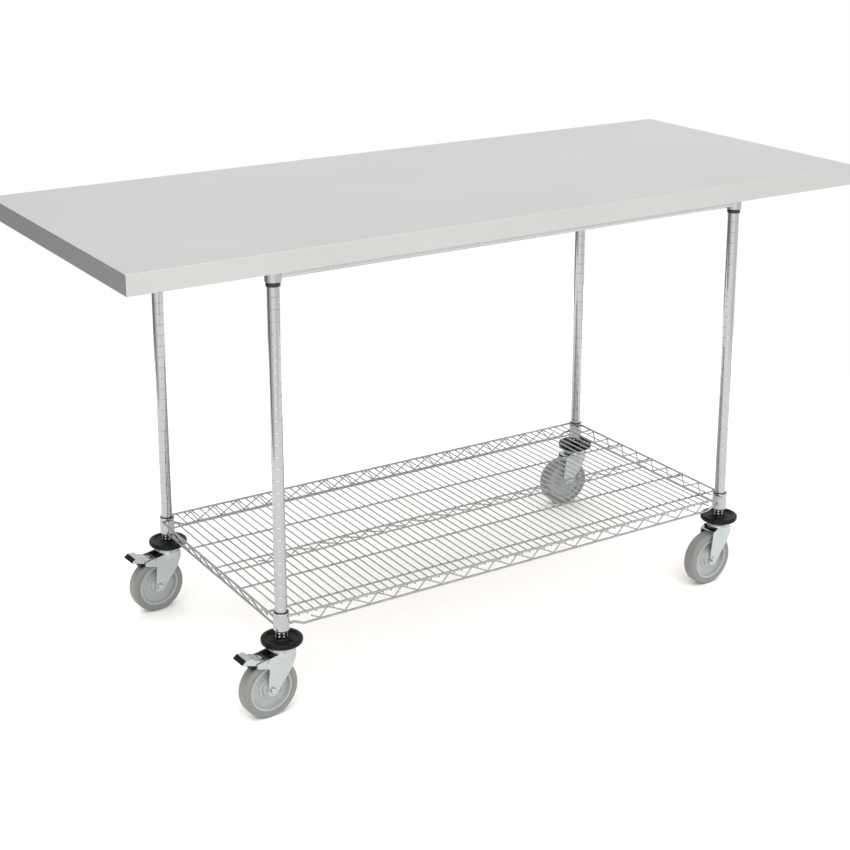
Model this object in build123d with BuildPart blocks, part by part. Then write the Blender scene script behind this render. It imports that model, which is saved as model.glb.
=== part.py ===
from build123d import *
import os
from math import atan2, cos, hypot, pi, sin

# Mobile stainless work table: a folded top on a channel frame, four grooved
# posts, one wire shelf and four swivel casters. Millimetres, +Z up, the floor
# at Z = 0 and the centre of the top's outline over the origin.

os.makedirs("parts", exist_ok=True)

# ---- driving sizes ----
INCH = 25.4
TOP_LENGTH = 72 * INCH
TOP_WIDTH = 30 * INCH
WORK_HEIGHT = 1003.3
TOP_THICKNESS = 41.0
SHEET = 1.5  # folded stainless sheet
TOP_RETURN = 22.0  # lip folded back under the top's edges
TOP_EDGE_RADIUS = 1.2
CORE_GAP = 0.2

OVERHANG_X = 321.4  # top beyond the posts at each end
OVERHANG_Y = 94.0
POST_SHIFT_X = 14.0  # the frame stands a little off the top's centre
POST_SHIFT_Y = -9.0
POST_RADIUS = INCH / 2
POST_WALL = 1.6
GROOVE_PITCH = INCH
GROOVE_DEPTH = 0.35
GROOVE_WIDTH = 1.3
FIRST_GROOVE_DROP = 109.0  # first full groove below the work surface
PLUG_RISE = 2.0
PLUG_DEPTH = 14.0

COLLAR_WALL = 4.3  # from the post to the collar's outside
COLLAR_HEIGHT = 39.0
SLEEVE_THIN = 1.6  # wedge sleeve's thickness at its top and bottom ends
SLEEVE_THICK = 2.4
FIT = 0.05  # radial clearance between parts pushed together
SLEEVE_RISE = 1.5
SLEEVE_SPLIT = 2.0
TOP_SLEEVE_DROP = 9.0
NECK_LENGTH = 17.0  # bare neck between a bumper and its shelf collar
BUSH_WALL = 0.65
WINDOW = 3.6
WINDOW_COUNT = 9
WINDOW_TURN = 23.0
WINDOW_ROWS = (0.32, 0.70)  # shares of the neck below the collar

RAIL_HEIGHT = 33.0
RAIL_DEPTH = 24.0
RAIL_SHEET = 1.5
RAIL_BEND = 6.0
CROSS_CHANNEL_WIDTH = 38.0
CROSS_CHANNEL_FLANGE = 18.0
CROSS_CHANNEL_SHARE = 0.253  # of the post spacing, from the centre
RAIL_SCREW_SHARES = (-0.354, -0.118, 0.118, 0.354)
END_SCREW_SHARES = (-0.26, 0.26)
CHANNEL_SCREW_SHARES = (-0.157, 0.157)
SCREW_RADIUS = 2.4
SCREW_HEAD_RADIUS = 4.5
SCREW_HEAD_HEIGHT = 2.6
SCREW_GRIP = 16.0
DRIVER_HOLE_RADIUS = 5.5

RIM_WIRE = 2.6  # wire radii
DECK_WIRE = 1.6
SUPPORT_WIRE = 2.2
SNAKE_WIRE = 1.6
RIM_DROP = 6.2  # rim wire centre below the shelf collar's top
RIM_INSET = 1.5  # rim wires inside the collars' outer faces
END_RIM_INSET = 2.0
LOW_RIM_INSET = 7.0
END_LOW_RIM_INSET = 11.0
LOW_RIM_RISE = 4.6  # long low rim wires above the collars' bottom
END_LOW_RIM_RISE = 2.4
LOW_RIM_KICK = 9.0  # the low wires' ends bend up to the collars
LOW_RIM_KICK_RUN = 40.0
DECK_PITCH = 20.0
DECK_MARGIN = 10.0  # least distance from the last deck wire to a post
SNAKE_PITCH = 3 * DECK_PITCH
SNAKE_LEAN = 16.0  # from a snake's valley to the next peak
SNAKE_BEND = 4.0
VALLEY_STEP = 11.0  # a valley's place after a deck wire
WELD = 0.3  # how far welded wires sink into each other
RIM_STOP = 6.0  # the rim wires stop this short of the post centres
SUPPORT_SHARES = (0.2115, 0.4315)  # of the post spacing, from the centre

WHEEL_RADIUS = 2.5 * INCH
FORK_INSIDE = 38.0
TREAD_ROUND = 7.0
TREAD_DEPTH = 15.5
TREAD_SIDE_GAP = 3.0  # between the tread and each cheek
HUB_SIDE_GAP = 1.5
HUB_RIM = 3.5
HUB_WEB = 7.0
HUB_BOSS_RADIUS = 19.0
TRAIL = 35.0  # axle behind the swivel axis
RUNNING = 0.08
FORK_SHEET = 3.0
CHEEK_ROUND = 2.5
DOME_RADIUS = 29.0
DOME_OVER_WHEEL = 23.0
DOME_HEIGHT = 38.0
KINGPIN_RADIUS = 6.0
KINGPIN_HEAD = 10.0
RACE_RADIUS = 24.0
RACE_HEIGHT = 5.0
RACE_GAP = 0.5
BUMPER_RADIUS = 44.0
BUMPER_HEIGHT = 12.0
BUMPER_ROUND = 4.0
DISH_DEPTH = 3.0
DISH_RIBS = 4
RIB_HEIGHT = 0.8
STEM_LENGTH = 75.0
AXLE_RADIUS = 5.0
SPACER_RADIUS = 6.0
BOLT_HEAD_RADIUS = 6.8
BOLT_HEAD_HEIGHT = 6.0
NUT_RADIUS = 8.5
RIVET_RADIUS = 2.5
RIVET_X = 42.0
RIVET_HEAD = 1.5
LEVER_SHEET = 2.0
LEVER_GAP = 0.4
PIN_RADIUS = 1.6
PIN_X = 51.0
SPRING_WIRE = 0.8
SPRING_RADIUS = 2.9
SPRING_PITCH = 2.4
SPRING_TURNS = 6
PEDAL_WIDTH = 38.0
PAD_TEETH = 5
PAD_THICK = 2.0
SHOE_GAP = 0.5
SHOE_WIDTH = 20.0
TRAIL_ANGLES = {
    "front_left": 183.0,
    "rear_left": 184.0,
    "front_right": 184.0,
    "rear_right": 172.0,
}

# ---- derived sizes ----
TOP_BASE = WORK_HEIGHT - TOP_THICKNESS
POST_X = TOP_LENGTH / 2 - OVERHANG_X
POST_Y = TOP_WIDTH / 2 - OVERHANG_Y
AXLE_Z = WHEEL_RADIUS
DOME_TOP = 2 * WHEEL_RADIUS + DOME_OVER_WHEEL
DOME_SKIRT = DOME_TOP - DOME_HEIGHT
RACE_BASE = DOME_TOP + RACE_GAP
BUMPER_BASE = DOME_TOP + RACE_HEIGHT
POST_BASE = BUMPER_BASE + BUMPER_HEIGHT
POST_BORE = POST_RADIUS - POST_WALL
POST_TOP = TOP_BASE - PLUG_RISE
CORNERS = {
    "front_left": (POST_SHIFT_X - POST_X, POST_SHIFT_Y - POST_Y),
    "rear_left": (POST_SHIFT_X - POST_X, POST_SHIFT_Y + POST_Y),
    "front_right": (POST_SHIFT_X + POST_X, POST_SHIFT_Y - POST_Y),
    "rear_right": (POST_SHIFT_X + POST_X, POST_SHIFT_Y + POST_Y),
}
CORNER_POINTS = list(CORNERS.values())
FRAME_CENTRE = Location((POST_SHIFT_X, POST_SHIFT_Y, 0))
COLLAR_RADIUS = POST_RADIUS + COLLAR_WALL
COLLAR_BORE_TOP = POST_RADIUS + SLEEVE_THIN
COLLAR_BORE_BOTTOM = POST_RADIUS + SLEEVE_THICK
RIM_OUTSET_X = COLLAR_RADIUS - END_RIM_INSET
RIM_OUTSET_Y = COLLAR_RADIUS - RIM_INSET
LOW_RIM_OUTSET_X = COLLAR_RADIUS - END_LOW_RIM_INSET
LOW_RIM_OUTSET_Y = COLLAR_RADIUS - LOW_RIM_INSET
SHELF_COLLAR_BASE = POST_BASE + NECK_LENGTH
SHELF_COLLAR_TOP = SHELF_COLLAR_BASE + COLLAR_HEIGHT
RIM_Z = SHELF_COLLAR_TOP - RIM_DROP
DECK_Z = RIM_Z - RIM_WIRE - DECK_WIRE
SUPPORT_Z = DECK_Z - DECK_WIRE - SUPPORT_WIRE
END_RIM_Z = SUPPORT_Z + SUPPORT_WIRE + RIM_WIRE
LOW_RIM_Z = SHELF_COLLAR_BASE + LOW_RIM_RISE
END_LOW_RIM_Z = SHELF_COLLAR_BASE + END_LOW_RIM_RISE
CENTRE_LOW_Z = END_LOW_RIM_Z + RIM_WIRE + SUPPORT_WIRE
DECK_COUNT = 2 * int((POST_X - DECK_MARGIN) // DECK_PITCH) + 1
CROSS_CHANNEL_X = 2 * POST_X * CROSS_CHANNEL_SHARE
HUB_RADIUS = WHEEL_RADIUS - TREAD_DEPTH
HUB_WIDTH = FORK_INSIDE - 2 * HUB_SIDE_GAP
WHEEL_WIDTH = FORK_INSIDE - 2 * TREAD_SIDE_GAP
RIVET_Z = DOME_TOP - 20.5
PIN_Z = DOME_TOP - 17.5
TOLERANCE = 0.01


def save(part, name):
    """Name a finished piece and write it."""
    part.label = name
    export_step(part, f"parts/{name}.step")


def at_corners(part):
    """The same piece at each of the four posts."""
    with BuildPart() as group:
        with Locations(*[(x, y, 0) for x, y in CORNER_POINTS]):
            add(part)
    return group.part


def on_frame(part):
    """Move a piece drawn about the frame's centre to its place."""
    return part.moved(FRAME_CENTRE)


def turned_about_frame(part):
    """The opposite twin of a piece, half a turn round the frame's centre."""
    return on_frame(part.moved(Location((0, 0, 0), (0, 0, 180))))


# ---- the top: folded sheet over a board ----
with BuildPart() as top_sheet:
    with BuildSketch(Plane.XY.offset(TOP_BASE)):
        Rectangle(TOP_LENGTH, TOP_WIDTH)
    extrude(amount=TOP_THICKNESS)
    rims = top_sheet.faces().sort_by(Axis.Z)[-1].edges()
    fillet([*rims, *top_sheet.edges().filter_by(Axis.Z)], radius=TOP_EDGE_RADIUS)
    with BuildSketch(Plane.XY.offset(TOP_BASE + SHEET)):
        Rectangle(TOP_LENGTH - 2 * SHEET, TOP_WIDTH - 2 * SHEET)
    extrude(amount=TOP_THICKNESS - 2 * SHEET, mode=Mode.SUBTRACT)
    with BuildSketch(Plane.XY.offset(TOP_BASE)):
        Rectangle(TOP_LENGTH - 2 * TOP_RETURN, TOP_WIDTH - 2 * TOP_RETURN)
    extrude(amount=SHEET, mode=Mode.SUBTRACT)
save(top_sheet.part, "top_sheet")

# screws up through the rails' and channels' flanges into the board
rail_screws = [2 * POST_X * share for share in RAIL_SCREW_SHARES]
end_screws = [2 * POST_Y * share for share in END_SCREW_SHARES]
channel_screws = [2 * POST_Y * share for share in CHANNEL_SCREW_SHARES]
channel_foot = (CROSS_CHANNEL_WIDTH + CROSS_CHANNEL_FLANGE) / 2
screw_points = [(x, side * POST_Y) for x in rail_screws for side in (-1, 1)]
screw_points += [(side * POST_X, y) for side in (-1, 1) for y in end_screws]
screw_points += [
    (side * CROSS_CHANNEL_X + foot, y)
    for side in (-1, 1)
    for foot in (-channel_foot, channel_foot)
    for y in channel_screws
]
screw_spots = [(x + POST_SHIFT_X, y + POST_SHIFT_Y) for x, y in screw_points]

with BuildPart() as top_core:
    with BuildSketch(Plane.XY.offset(TOP_BASE + SHEET + CORE_GAP)):
        Rectangle(TOP_LENGTH - 2 * SHEET - 2 * CORE_GAP, TOP_WIDTH - 2 * SHEET - 2 * CORE_GAP)
    extrude(amount=TOP_THICKNESS - 2 * SHEET - 2 * CORE_GAP)
    with BuildSketch(Plane.XY.offset(TOP_BASE)):
        Rectangle(
            TOP_LENGTH - 2 * TOP_RETURN - 2 * CORE_GAP,
            TOP_WIDTH - 2 * TOP_RETURN - 2 * CORE_GAP,
        )
    extrude(amount=SHEET + CORE_GAP)
    with BuildSketch(Plane.XY.offset(TOP_BASE)):
        with Locations(*screw_spots):
            Circle(SCREW_RADIUS + FIT)
    extrude(amount=SCREW_GRIP + FIT, mode=Mode.SUBTRACT)
save(top_core.part, "top_core")


# ---- the channel frame between the top collars ----
def low_front(section):
    """The lower front corner of a rail's upright section."""
    return section.vertices().group_by(Axis.Y)[0].sort_by(Axis.X)[0]


def rail(half, holes):
    """A channel along X between two collars, its open side to +Y, hung under Z = 0."""
    with BuildPart() as piece:
        with BuildSketch(Plane.YZ.offset(-half)) as outside:
            with Locations((0, -RAIL_HEIGHT / 2)):
                Rectangle(RAIL_DEPTH, RAIL_HEIGHT)
            fillet(low_front(outside), radius=RAIL_BEND)
        extrude(amount=2 * half)
        with BuildSketch(Plane.YZ.offset(-half)) as hollow:
            with Locations((RAIL_SHEET, -RAIL_HEIGHT / 2)):
                Rectangle(RAIL_DEPTH, RAIL_HEIGHT - 2 * RAIL_SHEET)
            fillet(low_front(hollow), radius=RAIL_BEND - RAIL_SHEET)
        extrude(amount=2 * half, mode=Mode.SUBTRACT)
        with BuildSketch(Plane.XY.offset(-RAIL_SHEET)):
            with Locations(*[(x, 0) for x in holes]):
                Circle(SCREW_RADIUS + FIT)
        extrude(amount=RAIL_SHEET, mode=Mode.SUBTRACT)
        with BuildSketch(Plane.XY.offset(-RAIL_HEIGHT)):
            with Locations(*[(x, 0) for x in holes]):
                Circle(DRIVER_HOLE_RADIUS)
        extrude(amount=RAIL_SHEET, mode=Mode.SUBTRACT)
        # the ends are coped round the collars
        with BuildSketch(Plane.XY.offset(-RAIL_HEIGHT)):
            with Locations((-half, 0), (half, 0)):
                Circle(COLLAR_RADIUS + FIT)
        extrude(amount=RAIL_HEIGHT, mode=Mode.SUBTRACT)
    return piece.part


long_rail = rail(POST_X, rail_screws)
end_rail = rail(POST_Y, end_screws)
for name, shape, place in (
    ("frame_rail_front", long_rail, Location((0, -POST_Y, TOP_BASE))),
    ("frame_rail_rear", long_rail, Location((0, POST_Y, TOP_BASE), (0, 0, 180))),
    ("frame_rail_left", end_rail, Location((-POST_X, 0, TOP_BASE), (0, 0, -90))),
    ("frame_rail_right", end_rail, Location((POST_X, 0, TOP_BASE), (0, 0, 90))),
):
    save(on_frame(shape.moved(place)), name)

channel_length = 2 * POST_Y - RAIL_DEPTH - 1
channel_height = RAIL_DEPTH
with BuildPart() as cross_channel:
    with BuildSketch(Plane.XZ.offset(-channel_length / 2)):
        with Locations((0, TOP_BASE - RAIL_SHEET / 2)):
            Rectangle(CROSS_CHANNEL_WIDTH + 2 * CROSS_CHANNEL_FLANGE, RAIL_SHEET)
        with Locations((0, TOP_BASE - channel_height / 2)):
            Rectangle(CROSS_CHANNEL_WIDTH, channel_height)
        with Locations((0, TOP_BASE - channel_height / 2 + RAIL_SHEET)):
            Rectangle(
                CROSS_CHANNEL_WIDTH - 2 * RAIL_SHEET, channel_height, mode=Mode.SUBTRACT
            )
    extrude(amount=channel_length)
    with BuildSketch(Plane.XY.offset(TOP_BASE - RAIL_SHEET)):
        with Locations(*[(x, y) for x in (-channel_foot, channel_foot) for y in channel_screws]):
            Circle(SCREW_RADIUS + FIT)
    extrude(amount=RAIL_SHEET, mode=Mode.SUBTRACT)
with BuildPart() as cross_channels:
    with Locations((CROSS_CHANNEL_X, 0, 0), (-CROSS_CHANNEL_X, 0, 0)):
        add(cross_channel.part)
save(on_frame(cross_channels.part), "cross_channels")

with BuildPart() as screw:
    with BuildSketch(Plane.XZ):
        with BuildLine():
            Polyline(
                (0, TOP_BASE + SCREW_GRIP),
                (SCREW_RADIUS - 1, TOP_BASE + SCREW_GRIP),
                (SCREW_RADIUS, TOP_BASE + SCREW_GRIP - 2),
                (SCREW_RADIUS, TOP_BASE - RAIL_SHEET),
                (SCREW_HEAD_RADIUS, TOP_BASE - RAIL_SHEET),
                (SCREW_HEAD_RADIUS - 1, TOP_BASE - RAIL_SHEET - SCREW_HEAD_HEIGHT),
                (0, TOP_BASE - RAIL_SHEET - SCREW_HEAD_HEIGHT),
                close=True,
            )
        make_face()
    revolve(axis=Axis.Z)
with BuildPart() as frame_screws:
    with Locations(*[(x, y, 0) for x, y in screw_spots]):
        add(screw.part)
save(frame_screws.part, "frame_screws")


# ---- collars and their split wedge sleeves ----
def collar(base):
    """A tapered collar standing on Z = base at the origin."""
    with BuildPart() as piece:
        with BuildSketch(Plane.XZ):
            with BuildLine():
                Polyline(
                    (COLLAR_BORE_BOTTOM, base),
                    (COLLAR_RADIUS - 0.5, base),
                    (COLLAR_RADIUS, base + 0.5),
                    (COLLAR_RADIUS, base + COLLAR_HEIGHT - 0.5),
                    (COLLAR_RADIUS - 0.5, base + COLLAR_HEIGHT),
                    (COLLAR_BORE_TOP, base + COLLAR_HEIGHT),
                    close=True,
                )
            make_face()
        revolve(axis=Axis.Z)
    return piece.part


def sleeve(base, drop, rise, windows):
    """Two half sleeves wedged inside a collar that stands on Z = base."""
    top = base + COLLAR_HEIGHT
    inside = POST_RADIUS + FIT
    neck = COLLAR_BORE_BOTTOM - 2 * FIT
    neck_inside = inside
    if windows:
        neck = COLLAR_BORE_TOP - 4 * FIT
        neck_inside = inside + BUSH_WALL + FIT
    section = [(neck_inside, base - drop), (neck, base - drop), (neck, base)]
    section += [(COLLAR_BORE_BOTTOM - FIT, base), (COLLAR_BORE_TOP - FIT, top)]
    if rise:
        section.append((COLLAR_BORE_TOP - FIT, top + rise))
    section.append((inside, top + rise))
    if windows:
        section += [(inside, base), (neck_inside, base)]
    with BuildPart() as piece:
        with BuildSketch(Plane.XZ):
            with BuildLine():
                Polyline(*section, close=True)
            make_face()
        revolve(axis=Axis.Z)
        if windows:
            for share in WINDOW_ROWS:
                with BuildSketch(Plane.XY.offset(base - share * drop - WINDOW / 2)):
                    with PolarLocations(neck, WINDOW_COUNT, start_angle=WINDOW_TURN):
                        Rectangle(2 * SLEEVE_THICK, WINDOW)
                extrude(amount=WINDOW, mode=Mode.SUBTRACT)
        with BuildSketch(Plane.XY.offset(base - drop)):
            Rectangle(4 * COLLAR_RADIUS, SLEEVE_SPLIT)
        extrude(amount=drop + COLLAR_HEIGHT + rise, mode=Mode.SUBTRACT)
    return piece.part


TOP_COLLAR_BASE = TOP_BASE - COLLAR_HEIGHT
save(at_corners(collar(TOP_COLLAR_BASE)), "top_collars")
save(at_corners(sleeve(TOP_COLLAR_BASE, TOP_SLEEVE_DROP, 0, False)), "top_sleeves")
save(at_corners(collar(SHELF_COLLAR_BASE)), "shelf_collars")
save(at_corners(sleeve(SHELF_COLLAR_BASE, NECK_LENGTH, SLEEVE_RISE, True)), "shelf_sleeves")

# pale bushes that show through the windows of the shelf sleeves' necks
with BuildPart() as neck_bush:
    with BuildSketch(Plane.XY.offset(POST_BASE)):
        Circle(POST_RADIUS + FIT + BUSH_WALL)
        Circle(POST_RADIUS + FIT, mode=Mode.SUBTRACT)
    extrude(amount=NECK_LENGTH - FIT)
save(at_corners(neck_bush.part), "neck_bushes")

# ---- grooved posts and their plugs ----
first_groove = WORK_HEIGHT - FIRST_GROOVE_DROP
while first_groove + GROOVE_PITCH < POST_TOP:
    first_groove += GROOVE_PITCH
groove_count = int((first_groove - POST_BASE - GROOVE_WIDTH) // GROOVE_PITCH) + 1
groove_heights = [first_groove - i * GROOVE_PITCH for i in range(groove_count)]
outline = [(POST_BORE, POST_BASE), (POST_BORE, POST_TOP), (POST_RADIUS, POST_TOP)]
for z in groove_heights:
    outline.append((POST_RADIUS, z + GROOVE_WIDTH / 2))
    outline.append((POST_RADIUS - GROOVE_DEPTH, z + GROOVE_WIDTH / 6))
    outline.append((POST_RADIUS - GROOVE_DEPTH, z - GROOVE_WIDTH / 6))
    outline.append((POST_RADIUS, z - GROOVE_WIDTH / 2))
outline.append((POST_RADIUS, POST_BASE))
with BuildPart() as post:
    with BuildSketch(Plane.XZ):
        with BuildLine():
            Polyline(*outline, close=True)
        make_face()
    revolve(axis=Axis.Z)
for corner, (x, y) in CORNERS.items():
    save(post.part.moved(Location((x, y, 0))), f"post_{corner}")

with BuildPart() as plug:
    with BuildSketch(Plane.XY.offset(POST_TOP)):
        Circle(POST_RADIUS)
    extrude(amount=PLUG_RISE)
    with BuildSketch(Plane.XY.offset(POST_TOP)):
        Circle(POST_BORE - FIT)
    extrude(amount=-PLUG_DEPTH)
save(at_corners(plug.part), "post_plugs")


# ---- the wire shelf ----
def wire_x(y, z, half, radius):
    """A straight wire along X."""
    with BuildPart() as wire:
        with BuildSketch(Plane.YZ.offset(-half)):
            with Locations((y, z)):
                Circle(radius)
        extrude(amount=2 * half)
    return wire.part


def bent_wire_x(y, low, kick, half, radius):
    """A wire along X whose ends bend up by kick before they meet the collars."""
    flat = half - LOW_RIM_KICK_RUN
    ramp = half - LOW_RIM_KICK_RUN / 2
    with BuildPart() as wire:
        with BuildLine() as path:
            FilletPolyline(
                (-half, y, low + kick),
                (-ramp, y, low + kick),
                (-flat, y, low),
                (flat, y, low),
                (ramp, y, low + kick),
                (half, y, low + kick),
                radius=2 * radius,
            )
        with BuildSketch(Plane(origin=path.line @ 0, z_dir=path.line % 0)):
            Circle(radius)
        sweep()
    return wire.part


def bend_loss(rise):
    """How much lower a rounded snake peak stands than its sharp corner."""
    steep = atan2(rise, SNAKE_LEAN)
    gentle = atan2(rise, SNAKE_PITCH - SNAKE_LEAN)
    half_angle = (pi - steep - gentle) / 2
    return SNAKE_BEND * (cos((steep - gentle) / 2) / sin(half_angle) - 1)


def snake_x(low, high, periods, radius, phase=0.0):
    """A zigzag wire along X welded between two wires given as (y, z) centres."""
    drop = (low[0] - high[0]) / (high[1] - low[1])
    slant = hypot(1, drop)
    reach = (radius + SNAKE_WIRE - WELD) / slant
    valley = low[1] + reach
    peak = high[1] - reach
    room = bend_loss((peak - valley) * slant) / slant
    valley -= room
    peak += room

    def point(x, z):
        return (x, low[0] - drop * (z - low[1]), z)

    start = phase - (periods - 1) / 2 * SNAKE_PITCH
    middle = (valley + peak) / 2
    points = [point(start - 0.35 * SNAKE_PITCH, middle)]
    for i in range(periods):
        points.append(point(start + i * SNAKE_PITCH, valley))
        points.append(point(start + i * SNAKE_PITCH + SNAKE_LEAN, peak))
    points.append(point(start + (periods - 0.4) * SNAKE_PITCH, middle))
    with BuildPart() as wire:
        with BuildLine() as path:
            FilletPolyline(*points, radius=SNAKE_BEND)
        with BuildSketch(Plane(origin=path.line @ 0, z_dir=path.line % 0)):
            Circle(SNAKE_WIRE)
        sweep()
    return wire.part


def clear_of_collars(parts, reach_x, reach_y):
    """Join a truss's wires in one piece, cut to the collars at its two ends."""
    with BuildPart() as truss:
        for part in parts:
            add(part)
        with BuildSketch(Plane.XY.offset(SHELF_COLLAR_BASE - 1)):
            with Locations((-reach_x, reach_y), (reach_x, reach_y)):
                Circle(COLLAR_RADIUS)
        extrude(amount=COLLAR_HEIGHT + 2, mode=Mode.SUBTRACT)
    return truss.part


long_high = (-POST_Y - RIM_OUTSET_Y, RIM_Z)
long_low = (-POST_Y - LOW_RIM_OUTSET_Y, LOW_RIM_Z)
long_periods = int((2 * POST_X - 1.5 * SNAKE_PITCH) // SNAKE_PITCH)
# the peaks rise between the deck wires, so the first valley keeps step with them
first_valley = -(long_periods - 1) / 2 * SNAKE_PITCH
snake_phase = (VALLEY_STEP - first_valley) % DECK_PITCH
long_truss = clear_of_collars(
    [
        wire_x(*long_high, POST_X - RIM_STOP, RIM_WIRE),
        bent_wire_x(*long_low, LOW_RIM_KICK, POST_X - RIM_STOP, RIM_WIRE),
        snake_x(long_low, long_high, long_periods, RIM_WIRE, snake_phase),
    ],
    POST_X,
    -POST_Y,
)
save(on_frame(long_truss), "shelf_truss_front")
save(turned_about_frame(long_truss), "shelf_truss_rear")

end_high = (-POST_X - RIM_OUTSET_X, END_RIM_Z)
end_low = (-POST_X - LOW_RIM_OUTSET_X, END_LOW_RIM_Z)
end_periods = int((2 * POST_Y - 1.5 * SNAKE_PITCH) // SNAKE_PITCH)
end_truss = clear_of_collars(
    [
        wire_x(*end_high, POST_Y - RIM_STOP, RIM_WIRE),
        wire_x(*end_low, POST_Y - RIM_STOP, RIM_WIRE),
        snake_x(end_low, end_high, end_periods, RIM_WIRE),
    ],
    POST_Y,
    -POST_X,
)
quarter_turn = Location((0, 0, 0), (0, 0, 90))
save(on_frame(end_truss.moved(quarter_turn)), "shelf_truss_right")
save(turned_about_frame(end_truss.moved(quarter_turn)), "shelf_truss_left")

deck_reach = POST_Y + RIM_OUTSET_Y + 2
end_reach = POST_Y - COLLAR_RADIUS
end_wire_x = DECK_PITCH * (DECK_COUNT - 1) / 2
with BuildPart() as deck_wires:
    with BuildSketch(Plane.XZ.offset(-deck_reach)):
        with Locations((0, DECK_Z)):
            with GridLocations(DECK_PITCH, 1, DECK_COUNT - 2, 1):
                Circle(DECK_WIRE)
    extrude(amount=2 * deck_reach)
    with BuildSketch(Plane.XZ.offset(-end_reach)):
        with Locations((-end_wire_x, DECK_Z), (end_wire_x, DECK_Z)):
            Circle(DECK_WIRE)
    extrude(amount=2 * end_reach)
save(on_frame(deck_wires.part), "deck_wires")

support_reach = POST_X + RIM_OUTSET_X + 1
support_places = [2 * POST_Y * side * share for side in (-1, 1) for share in SUPPORT_SHARES]
with BuildPart() as support_wires:
    with BuildSketch(Plane.YZ.offset(-support_reach)):
        with Locations(*[(y, SUPPORT_Z) for y in support_places]):
            Circle(SUPPORT_WIRE)
    extrude(amount=2 * support_reach)
save(on_frame(support_wires.part), "support_wires")

centre_periods = int((2 * POST_X - 2 * SNAKE_PITCH) // SNAKE_PITCH)
with BuildPart() as shelf_truss_centre:
    add(wire_x(0, SUPPORT_Z, support_reach, SUPPORT_WIRE))
    add(wire_x(0, CENTRE_LOW_Z, POST_X + LOW_RIM_OUTSET_X + 1, SUPPORT_WIRE))
    add(snake_x((0, CENTRE_LOW_Z), (0, SUPPORT_Z), centre_periods, SUPPORT_WIRE))
save(on_frame(shelf_truss_centre.part), "shelf_truss_centre")


# ---- casters, drawn with the swivel axis on Z and the axle towards +X ----
def revolved(points):
    """A solid turned about Z from its half section (radius, height)."""
    with BuildPart() as piece:
        with BuildSketch(Plane.XZ):
            with BuildLine():
                Polyline(*points, close=True)
            make_face()
        revolve(axis=Axis.Z)
    return piece.part


stem_radius = POST_BORE - FIT
stem_top = POST_BASE + STEM_LENGTH
stem = revolved(
    [
        (0, DOME_TOP - FORK_SHEET - 6),
        (KINGPIN_HEAD - 1, DOME_TOP - FORK_SHEET - 6),
        (KINGPIN_HEAD, DOME_TOP - FORK_SHEET - 5),
        (KINGPIN_HEAD, DOME_TOP - FORK_SHEET - 0.4),
        (KINGPIN_RADIUS, DOME_TOP - FORK_SHEET - 0.4),
        (KINGPIN_RADIUS, BUMPER_BASE),
        (stem_radius, BUMPER_BASE),
        (stem_radius, stem_top - 3),
        (stem_radius - 3, stem_top),
        (0, stem_top),
    ]
)
save(at_corners(stem), "caster_stems")
race = revolved(
    [
        (KINGPIN_RADIUS + FIT, RACE_BASE),
        (RACE_RADIUS - 2, RACE_BASE),
        (RACE_RADIUS, RACE_BASE + 2),
        (RACE_RADIUS, BUMPER_BASE),
        (KINGPIN_RADIUS + FIT, BUMPER_BASE),
    ]
)
save(at_corners(race), "caster_races")

# bumper ring: a round rim and a shallow ribbed dish up to the neck
rim_in = BUMPER_RADIUS - BUMPER_ROUND - 5
hub_out = POST_RADIUS + 4
rib_pitch = (rim_in - hub_out - 4) / DISH_RIBS
dish = [(rim_in, POST_BASE), (rim_in - 2, POST_BASE - DISH_DEPTH + RIB_HEIGHT)]
for rib in range(DISH_RIBS):
    radius = rim_in - 2 - rib * rib_pitch
    dish.append((radius - rib_pitch / 2, POST_BASE - DISH_DEPTH))
    dish.append((radius - rib_pitch, POST_BASE - DISH_DEPTH + RIB_HEIGHT))
with BuildPart() as bumper:
    with BuildSketch(Plane.XZ):
        with BuildLine():
            Polyline(
                (stem_radius + FIT, BUMPER_BASE),
                (BUMPER_RADIUS, BUMPER_BASE),
                (BUMPER_RADIUS, POST_BASE),
                *dish,
                (hub_out, POST_BASE),
                (stem_radius + FIT, POST_BASE),
                close=True,
            )
        make_face()
    revolve(axis=Axis.Z)
    outer = bumper.edges().filter_by(GeomType.CIRCLE).filter_by(
        lambda edge: abs(edge.radius - BUMPER_RADIUS) < TOLERANCE
    )
    fillet(outer, radius=BUMPER_ROUND)
save(at_corners(bumper.part), "bumpers")

leg_out = FORK_INSIDE / 2 + FORK_SHEET
leg_in = FORK_INSIDE / 2
shoulder = DOME_TOP - 16  # where the dome starts to narrow into the cheeks
axle_eye = 12.3

# cheek outlines as (forward, height); the braked ones reach out in a beak
cheek_back = [
    (-21.5, DOME_TOP - 10),
    (-20.5, DOME_TOP - 24),
    (-11.5, DOME_TOP - 45.5),
    (TRAIL - 11.5, AXLE_Z - 5),
    (TRAIL + 11.8, AXLE_Z - 4),
]
braked_cheek = cheek_back + [
    (41.8, DOME_TOP - 36),
    (70.5, DOME_TOP - 27.5),
    (70.5, DOME_TOP - 18),
    (20.5, DOME_TOP - 10),
]
plain_cheek = cheek_back + [
    (TRAIL + 10.2, AXLE_Z + 6),
    (37.5, DOME_TOP - 20),
    (35.5, DOME_TOP - 15.5),
    (20.5, DOME_TOP - 10),
]
visor = [(22, DOME_TOP - 9), (36, DOME_TOP - 15), (36, DOME_TOP - 18), (22, DOME_TOP - 12.5)]


def side_block(points, low, high, rounding=0):
    """A plate with a side outline (forward, height) between two widths."""
    with BuildPart() as block:
        with BuildSketch(Plane.XZ.offset(-high)) as outline:
            with BuildLine():
                Polyline(*points, close=True)
            make_face()
            if rounding:
                fillet(outline.vertices(), radius=rounding)
        extrude(amount=high - low)
    return block.part


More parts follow.
